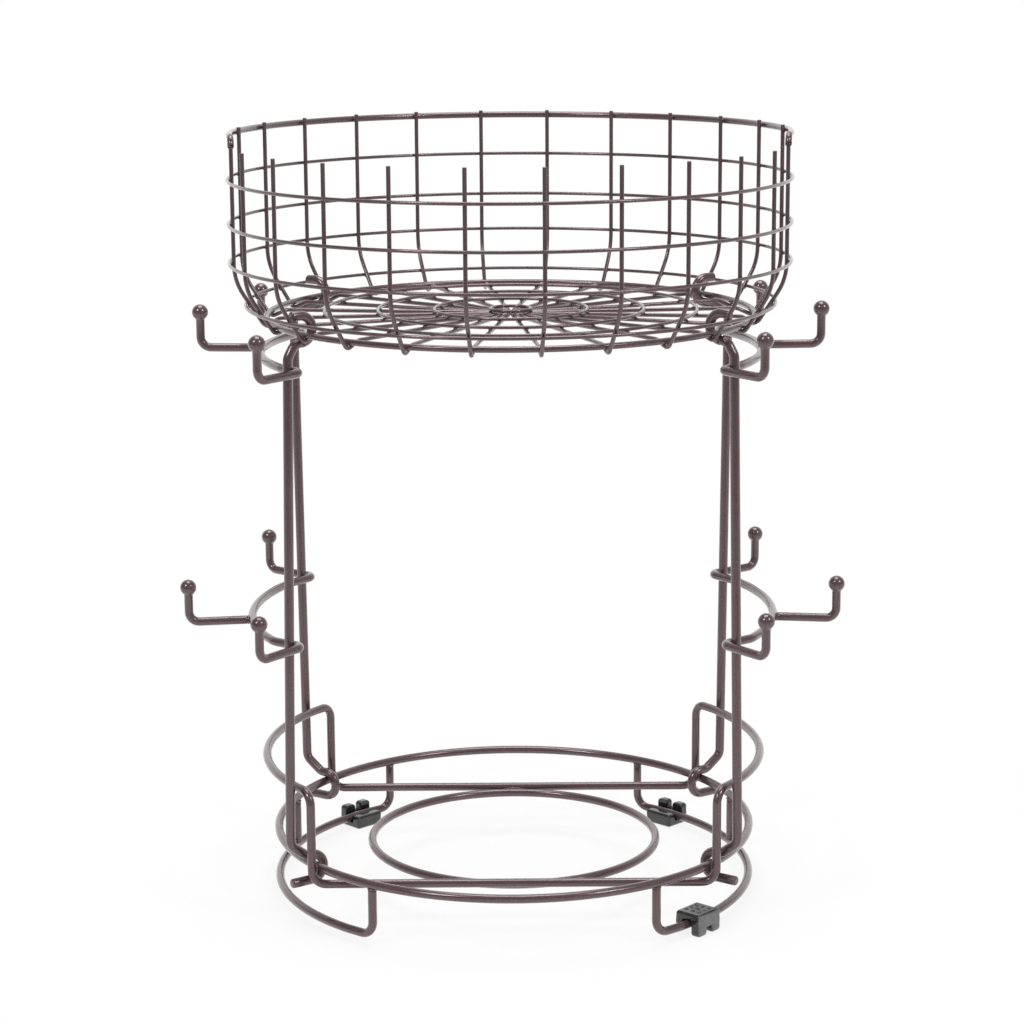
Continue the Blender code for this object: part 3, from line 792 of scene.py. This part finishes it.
def moulded_pad(pads, ring_radius, wires):
    """Pad about the wire's middle: block, channel, low inner wall, two lobes and dimpled sole."""
    size = Vector((pads.width, pads.length, pads.height)) / 2
    half_channel = wires.frame / 2 + pads.clearance
    # The wire curves inwards along the pad, and the channel follows it by half.
    shift = -pads.length * pads.length / (16 * ring_radius)
    floor = -wires.frame / 2 - wires.gap
    edge = shift + half_channel
    along = size.y + pads.corner
    block = box_object("pad_block", -size, Vector((size.x, size.y, pads.inner_rise)), pads.corner)
    for vertex in block.data.vertices:
        depth = pads.inner_rise - vertex.co.z
        drawn_in = 1 - pads.taper * depth / (pads.inner_rise + size.z)
        vertex.co.x *= drawn_in
        vertex.co.y *= drawn_in
    notch = pads.notch / 2
    low = Vector((edge - pads.corner, -notch - pads.dome, floor))
    high = Vector((size.x - pads.dome, notch + pads.dome, size.z - pads.notch_depth))
    shapes = [("UNION", box_object("pad_web", low, high, pads.clearance))]
    for near, far in ((notch, size.y), (-size.y, -notch)):
        low = Vector((edge - pads.corner, near, floor - pads.dome))
        high = Vector((size.x, far, size.z))
        shapes.append(("UNION", box_object("pad_lobe", low, high, pads.dome)))
    low = Vector((shift - half_channel, -along, floor))
    high = Vector((edge, along, size.z + pads.corner))
    shapes.append(("DIFFERENCE", box_object("pad_channel", low, high, pads.clearance)))
    shapes.append(("DIFFERENCE", dimple_grid(pads)))
    for operation, shape in shapes:
        step = block.modifiers.new(shape.name, "BOOLEAN")
        step.operation = operation
        step.object = shape
    remesh = block.modifiers.new("mould", "REMESH")
    remesh.mode = "VOXEL"
    remesh.voxel_size = pads.voxel
    remesh.use_smooth_shade = True
    soften = block.modifiers.new("soften", "CORRECTIVE_SMOOTH")
    soften.use_only_smooth = True
    soften.iterations = 4
    soften.factor = 0.6
    mesh = plain_mesh(block)
    for made in [block, *(shape for _, shape in shapes)]:
        bpy.data.objects.remove(made)
    return mesh


def leg_levels(scene):
    """Heights above the base ring: a leg's foot top, its head bottom and its upper seat."""
    wires = scene.rack_wires
    rise = scene.rack_basket.height - scene.rack_base.height
    foot_top = (wires.frame + wires.leg) / 2 + wires.gap + scene.rack_legs.slant
    seat = rise - (wires.floor_ring + wires.leg) / 2 - wires.gap
    return foot_top, seat - scene.rack_legs.slant, seat


def leg_place(scene, rise, where):
    """Middle of a front or rear leg on the right, at a height above the base ring, as if behind."""
    legs = scene.rack_legs
    low, high = getattr(legs, where + "_standoff")
    foot_top, head_bottom, _ = leg_levels(scene)
    way = (rise - foot_top) / (head_bottom - foot_top)
    return polar(scene.rack_base.radius + low + (high - low) * way, getattr(legs, where))


class RACK_OT_make_legs(bpy.types.Operator):
    """Bend the four legs, each hooked round both rings"""

    bl_idname = "rack.make_legs"
    bl_label = "Legs"

    def execute(self, context):
        scene = context.scene
        wires = scene.rack_wires
        legs = scene.rack_legs
        radius = scene.rack_base.radius
        foot_top, head_bottom, floor = leg_levels(scene)
        foot_tail, head_tail = legs.tails
        seat = (wires.frame + wires.leg) / 2 + wires.gap
        neck = radius + legs.neck
        inside = radius - legs.hook
        under = seat - 2 * legs.hook
        over = floor + 2 * legs.hook
        for where, side_angle in (("front", -legs.front), ("rear", legs.rear)):
            low, high = getattr(legs, where + "_standoff")
            profile = (
                (radius + foot_tail, under, 0.0),
                (inside, under, legs.hook),
                (inside, seat, legs.hook),
                (neck, seat, legs.bend),
                (radius + low, foot_top, legs.bend),
                (radius + high, head_bottom, legs.bend),
                (neck, floor, legs.bend),
                (inside, floor, legs.hook),
                (inside, over, legs.hook),
                (radius + head_tail, over, 0.0),
            )
            corners = [(Vector((reach, 0, height)), bend) for reach, height, bend in profile]
            rows = wire_rows(corners, wires.leg)
            for side, azimuth in (("right", side_angle), ("left", math.pi - side_angle)):
                place = {"lift": scene.rack_base.height, "azimuth": azimuth}
                wire_piece(f"leg_{where}_{side}", rows, wires.leg, **place)
        return {"FINISHED"}


def guard_post(scene):
    """How far a guard post stands from the axis, and its angle from the side."""
    base = scene.rack_base
    reach = base.radius + scene.rack_wires.frame + scene.rack_wires.gap
    return reach, scene.rack_legs.front + math.asin(base.post_spacing / reach)


class RACK_OT_make_guard(bpy.types.Operator):
    """Bend the plate guard and hang the inner ring inside its chords"""

    bl_idname = "rack.make_guard"
    bl_label = "Plate guard"

    def execute(self, context):
        wires = context.scene.rack_wires
        base = context.scene.rack_base
        post, azimuth = guard_post(context.scene)
        foot = polar(post, azimuth, -base.chord_drop)
        reach = base.radius + base.guard_reach
        centre = (reach * reach - post * post) / (2 * (reach - foot.x))
        half = math.atan2(foot.y, foot.x - centre)
        middle = Vector((centre, 0, 0))
        right = arc(middle, reach - centre, -half, half, steps=48, height=base.guard_height)
        left = [Vector((-point.x, -point.y, point.z)) for point in right]
        corners = []
        for points, side in ((right, 1), (left, -1)):
            low = Vector((side * foot.x, -side * foot.y, foot.z))
            high = Vector((side * foot.x, side * foot.y, foot.z))
            bend = base.guard_bend
            corners += bracket(points, (low, high), bend, room=4, end_bend=bend)
        wire_piece("guard_wire", even(bent(corners)), wires.frame, closed=True, lift=base.height)
        seat = wires.frame + wires.gap
        radius = foot.y - seat * math.cos(base.seat)
        height = base.height - base.chord_drop - seat * math.sin(base.seat)
        ring_piece("inner_ring", radius, wires.frame, height)
        return {"FINISHED"}


def ball_rows(stand, hooks, wires):
    """Ball on top of a stem, with a short fillet of paint at its neck."""
    start = math.asin(wires.frame / wires.ball)
    end = math.radians(176.0)
    steps = 24
    rows = []
    for step in range(steps + 1):
        slope = start + (end - start) * step / steps
        rise = hooks.stem - wires.ball / 2 * math.cos(slope)
        rows.append((stand + UP * rise, wires.ball * math.sin(slope) / wires.frame))
    neck = rows[0][0]
    fillet = ((0.0006, 1.0), (0.0002, 1.05))
    return [(neck - UP * drop, swell) for drop, swell in fillet] + rows[1:]


def hook_levels(scene):
    """Of the lower and upper hooks: name, height above the base ring, arc's reach, side angle."""
    hooks = scene.rack_hooks
    lower, upper = (scene.rack_base.radius + reach for reach in hooks.reaches)
    upper_rise = leg_levels(scene)[1] - hooks.upper_drop
    return (
        ("lower", hooks.lower, lower, hooks.lower_turn),
        ("upper", upper_rise, upper, hooks.upper_turn),
    )


def hook_half(scene, rise, reach, where):
    """Rows of half a hook wire behind the side, from its side arc round the leg to the ball."""
    wires = scene.rack_wires
    hooks = scene.rack_hooks
    azimuth = getattr(scene.rack_legs, where)
    leg = leg_place(scene, rise, where)
    turn_radius = (wires.leg + wires.frame) / 2 + wires.gap
    span = math.hypot(turn_radius, hooks.approach)
    cosine = (reach * reach - leg.length_squared - span * span) / (2 * leg.length * span)
    approach = azimuth + math.pi - math.acos(cosine) + math.atan2(turn_radius, hooks.approach)
    leave = azimuth + getattr(hooks, where + "_splay")
    quarter = math.pi / 2
    turn = arc(leg, turn_radius, approach + quarter, leave + quarter, steps=24)
    joint = leg + polar(turn_radius, approach + quarter) - polar(hooks.approach, approach)
    stand = turn[-1] + polar(hooks.arm, leave)
    side = arc(Vector(), reach, 0.0, math.atan2(joint.y, joint.x), steps=30)
    ball = ball_rows(stand, hooks, wires)
    room = 4
    corners = sharp(side[:-room]) + [(joint, hooks.arc_bend)] + sharp(turn)
    corners += [(stand, hooks.stem_bend), (ball[0][0], 0.0)]
    return even(bent(corners)[:-1]) + ball


def turned_rows(rows, across, along):
    """The same rows, mirrored across or along the rack where the factor is -1."""
    mirror = Matrix.Diagonal((across, along, 1))
    return [(mirror @ point, swell) for point, swell in rows]


class RACK_OT_make_hooks(bpy.types.Operator):
    """Bend the hook wires and side hooks, with their balls"""

    bl_idname = "rack.make_hooks"
    bl_label = "Hooks"

    def execute(self, context):
        scene = context.scene
        wires = scene.rack_wires
        hooks = scene.rack_hooks
        for level, rise, reach, turn in hook_levels(scene):
            front = turned_rows(hook_half(scene, rise, reach, "front"), 1, -1)
            rows = front[:0:-1] + hook_half(scene, rise, reach, "rear")
            tip = Vector((reach + hooks.side_arm, 0, 0))
            start = Vector((reach + wires.frame / 2 + wires.gap, 0, 0))
            ball = ball_rows(tip, hooks, wires)
            corners = [(start, 0.0), (tip, hooks.stem_bend), (ball[0][0], 0.0)]
            side_rows = wire_rows(corners, wires.frame, ball)
            place = {"lift": scene.rack_base.height + rise}
            for where, flip, azimuth in (("right", 1, turn), ("left", -1, math.pi - turn)):
                end = f"_{level}_{where}"
                wire_piece("hook_ring" + end, turned_rows(rows, flip, 1), wires.frame, **place)
                wire_piece("side_hook" + end, side_rows, wires.frame, azimuth=azimuth, **place)
        return {"FINISHED"}


def wall_seat(scene):
    """Distance between the middles of the floor ring and of an upright that hugs it."""
    wires = scene.rack_wires
    return (wires.floor_ring + wires.basket) / 2 + wires.gap


def wall_place(scene, rise):
    """Reach and lean of the wall's centreline at a height above the floor ring."""
    basket = scene.rack_basket
    ring = scene.rack_base.radius
    upright = ring + basket.flare
    sloping = ring + wall_seat(scene) / math.cos(basket.slant) + rise * math.tan(basket.slant)
    return (sloping, basket.slant) if sloping < upright else (upright, 0.0)


def upright_rows(scene, top, spoke_end):
    """Upright wire in its own plane: wall, turn under the floor ring, and spoke."""
    basket = scene.rack_basket
    ring = scene.rack_base.radius
    reach = ring + basket.flare
    seat = wall_seat(scene)
    slope_top = (reach - ring - seat / math.cos(basket.slant)) / math.tan(basket.slant)
    turn = arc(Vector(), seat, -basket.slant, -math.pi / 2 - basket.climb, steps=12)
    turn = [Vector((ring + point.x, 0, point.y)) for point in turn]
    knee = turn[-1].x + turn[-1].z / math.tan(basket.climb)
    corners = [(Vector((reach, 0, top)), 0.0), (Vector((reach, 0, slope_top)), basket.wall_bend)]
    corners += sharp(turn)
    corners += [(Vector((knee, 0, 0)), basket.spoke_bend), (Vector((spoke_end, 0, 0)), 0.0)]
    return wire_rows(corners, scene.rack_wires.basket)


class RACK_OT_make_uprights(bpy.types.Operator):
    """Bend the basket's uprights with their spokes, in six groups of equal wires"""

    bl_idname = "rack.make_uprights"
    bl_label = "Basket uprights"

    def execute(self, context):
        scene = context.scene
        wires = scene.rack_wires
        basket = scene.rack_basket
        pitch = 2 * math.pi / basket.count
        half = basket.count // 2
        rear = basket.rim_rise + basket.rear_top
        front = basket.rim_rise - basket.front_top
        # Name, first wire, every so many, and how many spokes reach as near to the middle.
        kinds = (
            ("long", 0, 4, basket.count // 4),
            ("middle", 2, 4, half),
            ("short", 1, 2, basket.count),
        )
        for place, top, first_wire in (("rear", rear, 0), ("front", front, half)):
            for kind, offset, every, sharing in kinds:
                numbers = range(first_wire + offset, first_wire + half, every)
                spoke_end = (wires.basket + wires.gap) / (2 * math.sin(math.pi / sharing))
                wire_piece(
                    f"uprights_{place}_{kind}",
                    upright_rows(scene, top, spoke_end),
                    wires.basket,
                    [f"basket_wire_{number + 1:02d}" for number in numbers],
                    lift=basket.height,
                    azimuth=basket.turn + (numbers[0] + 0.5) * pitch,
                    copies=len(numbers),
                    pitch=every * pitch,
                )
        return {"FINISHED"}


class RACK_OT_make_hoops(bpy.types.Operator):
    """Bend the basket's rim, floor ring and hoops"""

    bl_idname = "rack.make_hoops"
    bl_label = "Basket rim and hoops"

    def execute(self, context):
        scene = context.scene
        wires = scene.rack_wires
        basket = scene.rack_basket
        place = {"lift": basket.height, "azimuth": basket.turn}
        wire_piece("basket_rim", rim_rows(scene), wires.rim, **place)
        nodes = ["basket_floor_ring"]
        ring_piece("floor_ring", scene.rack_base.radius, wires.floor_ring, basket.height, nodes)
        seat = (wires.basket + wires.hoop) / 2 + wires.gap
        for number, rise in enumerate(basket.hoops, 1):
            reach, lean = wall_place(scene, rise)
            reach += seat / math.cos(lean)
            ring_piece(f"basket_hoop_{number}", reach, wires.hoop, basket.height + rise)
        for where, radius in zip(("outer", "middle", "inner", "hub"), basket.floor_hoops):
            ring_piece("floor_hoop_" + where, radius, wires.hoop, basket.height + seat)
        return {"FINISHED"}


def rim_rows(scene):
    """Rim round the back half, its ends drawn in and turned down onto the end uprights."""
    wires = scene.rack_wires
    basket = scene.rack_basket
    pitch = 2 * math.pi / basket.count
    wall = scene.rack_base.radius + basket.flare
    outer = wall + (wires.basket + wires.rim) / 2 + wires.gap
    foot = basket.rim_rise - basket.front_top + wires.gap
    start = -pitch / 2
    end = math.pi + pitch / 2
    steps = 104
    points = []
    for step in range(steps + 1):
        azimuth = start + (end - start) * step / steps
        drawn = min(1.0, (azimuth - start) / pitch, (end - azimuth) / pitch)
        points.append(polar(wall + (outer - wall) * drawn, azimuth, basket.rim_rise))
    ends = [polar(wall, start, foot), polar(wall, end, foot)]
    return wire_rows(bracket(points, ends, basket.rim_bend, room=3), wires.rim)


class RACK_OT_make_welds(bpy.types.Operator):
    """Put the weld beads where wires cross or meet"""

    bl_idname = "rack.make_welds"
    bl_label = "Welds"

    def execute(self, context):
        scene = context.scene
        wires = scene.rack_wires
        basket = scene.rack_basket
        bead_piece("frame_weld_beads", frame_beads(scene), "frame_wire", thickness=wires.frame)
        pitch = 2 * math.pi / basket.count
        every = {"thickness": wires.basket, "lift": basket.height, "pitch": pitch}
        every["azimuth"] = basket.turn + pitch / 2
        beads = upright_beads(scene)
        bead_piece("basket_weld_beads", beads, "basket_wire", copies=basket.count, **every)
        reach = scene.rack_base.radius + basket.flare + wires.basket / 2
        bead = (Vector((reach, 0, basket.rim_rise)), RIGHT, UP, SPREADS["rim"])
        bead_piece("rim_weld_beads", [bead], "basket_wire", copies=basket.count // 2, **every)
        return {"FINISHED"}


def frame_beads(scene):
    """Beads of the lower tier and of the hooks."""
    wires = scene.rack_wires
    base = scene.rack_base
    beads = []
    butt = SPREADS["butt"]
    top = base.height - wires.frame / 2
    post, guard = guard_post(scene)
    for side, strut in ((0.0, base.strut), (math.pi, math.pi - base.strut)):
        for half in (1, -1):
            foot = side + half * base.foot_half
            beads.append((polar(base.radius, foot, top), UP, polar(1, foot), butt))
            spot = side + half * guard
            touch = polar(base.radius + (wires.frame + wires.gap) / 2, spot, base.height)
            beads.append((touch, polar(1, spot), UP, SPREADS["guard post"]))
        for height in (top, base.foot_height + wires.frame / 2):
            beads.append((polar(base.radius, strut, height), UP, polar(1, strut), butt))
    chord = post * math.sin(guard)
    seat = (wires.frame + wires.gap) / 2
    for half in (1, -1):
        across = Vector((0, half * math.cos(base.seat), math.sin(base.seat)))
        spot = Vector((0, half * chord, base.height - base.chord_drop)) - across * seat
        beads.append((spot, across, RIGHT, SPREADS["chord"]))
    for _, rise, reach, turn in hook_levels(scene):
        height = base.height + rise
        for flip, side in ((1, turn), (-1, math.pi - turn)):
            beads.append((polar(reach + wires.frame / 2, side, height), polar(1, side), UP, butt))
            for where, half in (("rear", 1), ("front", -1)):
                leg = leg_place(scene, rise, where)
                across = Vector((flip * leg.x, half * leg.y, 0)).normalized()
                spot = across * (leg.length - wires.leg / 2) + UP * height
                beads.append((spot, across, UP, SPREADS["leg"]))
    return beads


def upright_beads(scene):
    """Beads of one upright: four wall hoops, the floor ring and three floor hoops."""
    wires = scene.rack_wires
    basket = scene.rack_basket
    beads = []
    for rise in basket.hoops:
        reach, lean = wall_place(scene, rise)
        across = Vector((math.cos(lean), 0, -math.sin(lean)))
        along = Vector((math.sin(lean), 0, math.cos(lean)))
        spot = Vector((reach, 0, rise)) + across * wires.basket / 2
        beads.append((spot, across, along, SPREADS["hoop"]))
    across = Vector((math.cos(basket.slant), 0, -math.sin(basket.slant)))
    spot = RIGHT * scene.rack_base.radius + across * wires.floor_ring / 2
    beads.append((spot, across, Vector((0, 1, 0)), SPREADS["floor ring"]))
    for radius in basket.floor_hoops[:3]:
        beads.append((Vector((radius, 0, wires.basket / 2)), UP, RIGHT, SPREADS["hoop"]))
    return beads


class RACK_OT_set_stage(bpy.types.Operator):
    """Set the floor, the backdrop, the lamps and the camera"""

    bl_idname = "rack.set_stage"
    bl_label = "Stage"

    def execute(self, context):
        scene = context.scene
        stage = scene.rack_stage
        make_backdrop(stage)
        make_room_light(stage)
        make_lamp("key_lamp", Vector((-1.2, -1.4, 1.7)), 0.5, stage.key)
        make_lamp("fill_lamp", Vector((1.4, -1.2, 1.6)), 0.5, stage.fill)
        make_lamp("top_lamp", Vector((0.0, 0.2, 2.2)), 1.2, stage.top)
        camera = bpy.data.cameras.new("photo_camera")
        camera.lens = stage.lens
        view = placed("photo_camera", camera)
        tilt = Matrix.Rotation(math.pi / 2 - stage.tilt, 4, "X")
        turn = tilt @ Matrix.Rotation(stage.roll, 4, "Z")
        view.matrix_world = Matrix.Translation((0, -stage.distance, stage.eye)) @ turn
        scene.camera = view
        scene.view_settings.view_transform = "Standard"
        return {"FINISHED"}


def make_backdrop(stage):
    """Floor that curves up into a backdrop, white to the camera away from the rack."""
    front, back, top, half_width, bend = -2.5, 3.0, 3.2, 3.5, 0.8
    spacing, floor_steps, bend_steps = 0.25, 18, 12
    line = [(front + spacing * step, 0.0) for step in range(floor_steps + 1)]
    for step in range(bend_steps + 1):
        slope = math.radians(90 / bend_steps * step)
        line.append((back - bend + bend * math.sin(slope), bend - bend * math.cos(slope)))
    line.append((back, top))
    points = [(x, y, z) for y, z in line for x in (-half_width, half_width)]
    faces = [(2 * row, 2 * row + 1, 2 * row + 3, 2 * row + 2) for row in range(len(line) - 1)]
    mesh = bpy.data.meshes.new("backdrop")
    mesh.from_pydata(points, [], faces)
    mesh.shade_smooth()
    pale = Finish("pale_backdrop")
    pale.set(Base_Color=(*stage.floor, 1.0), Roughness=0.9, Specular_IOR_Level=0.1)
    under_rack, clear_of_rack = 0.22, 0.55
    reach = pale.reach(pale.place)
    whiteness = pale.spread(reach, under_rack, clear_of_rack, stage.near, 1.0)
    mirrored = pale.spread(pale.part(pale.place, 1), stage.dark_from, stage.white_from)
    seen = pale.white_room("ShaderNodeEmission", mirrored, stage.dim)
    lit = Field(pale, pale.shader.outputs[0])
    mixed = pale.mix(pale.background_rays() * whiteness, lit, seen)
    pale.feed(pale.tree.nodes["Material Output"].inputs[0], mixed)
    mesh.materials.append(pale.material)
    placed("backdrop", mesh)


def make_room_light(stage):
    """Even light from all round; the room itself is white, and mirrored dimmer at the front."""
    world = bpy.data.worlds.new("studio")
    room = ShaderTree(world)
    way = room.add("ShaderNodeTexCoord", output="Generated")
    side = room.spread(room.part(way, 0), -0.4, 0.8, 0.0, stage.right)
    mirrored = room.spread(room.part(way, 1), 0.1, 0.85, side, 1.0)
    light = room.add("ShaderNodeBackground", {}, (1.0, 1.0, 1.0, 1.0), stage.world)
    seen = room.white_room("ShaderNodeBackground", mirrored, stage.dim)
    mixed = room.mix(room.background_rays(), light, seen)
    room.feed(room.tree.nodes["World Output"].inputs[0], mixed)
    bpy.context.scene.world = world


def make_lamp(name, place, size, watts):
    """Square soft lamp that faces the rack's middle."""
    lamp = bpy.data.lights.new(name, "AREA")
    lamp.size = size
    lamp.energy = watts
    rack_middle = Vector((0, 0, 0.22))
    turn = (rack_middle - place).to_track_quat("-Z", "Y").to_matrix().to_4x4()
    placed(name, lamp).matrix_world = Matrix.Translation(place) @ turn


# Panel and registration


class RACK_PT_sidebar(bpy.types.Panel):
    """Lists the rack's pieces and their sizes"""

    bl_idname = "RACK_PT_sidebar"
    bl_label = "Storage rack"
    bl_space_type = "VIEW_3D"
    bl_region_type = "UI"
    bl_category = "Storage rack"

    def draw(self, context):
        layout = self.layout
        for operator in OPERATORS:
            layout.operator(operator.bl_idname)
        for key, group in GROUPS.items():
            box = layout.box()
            box.label(text=group.__name__)
            for name in group.__annotations__:
                box.prop(getattr(context.scene, key), name)


GROUPS = {
    "rack_wires": WireSizes,
    "rack_base": BaseSizes,
    "rack_legs": LegSizes,
    "rack_hooks": HookSizes,
    "rack_basket": BasketSizes,
    "rack_pads": PadSizes,
    "rack_finishes": Finishes,
    "rack_stage": StageSizes,
}
OPERATORS = (
    RACK_OT_mix_finishes,
    RACK_OT_set_stage,
    RACK_OT_make_base,
    RACK_OT_make_pads,
    RACK_OT_make_legs,
    RACK_OT_make_guard,
    RACK_OT_make_hooks,
    RACK_OT_make_uprights,
    RACK_OT_make_hoops,
    RACK_OT_make_welds,
)
CLASSES = (*GROUPS.values(), *OPERATORS, RACK_PT_sidebar)


def register():
    """Add the rack's classes and its settings."""
    for cls in CLASSES:
        bpy.utils.register_class(cls)
    for key, group in GROUPS.items():
        setattr(bpy.types.Scene, key, PointerProperty(type=group))


def unregister():
    """Take the rack's classes and settings out again."""
    for key in GROUPS:
        delattr(bpy.types.Scene, key)
    for cls in reversed(CLASSES):
        bpy.utils.unregister_class(cls)


def main():
    """Make every piece in order."""
    register()
    bpy.ops.rack.mix_finishes()
    bpy.ops.rack.set_stage()
    bpy.ops.rack.make_base()
    bpy.ops.rack.make_pads()
    bpy.ops.rack.make_legs()
    bpy.ops.rack.make_guard()
    bpy.ops.rack.make_hooks()
    bpy.ops.rack.make_uprights()
    bpy.ops.rack.make_hoops()
    bpy.ops.rack.make_welds()


if __name__ == "__main__":
    main()
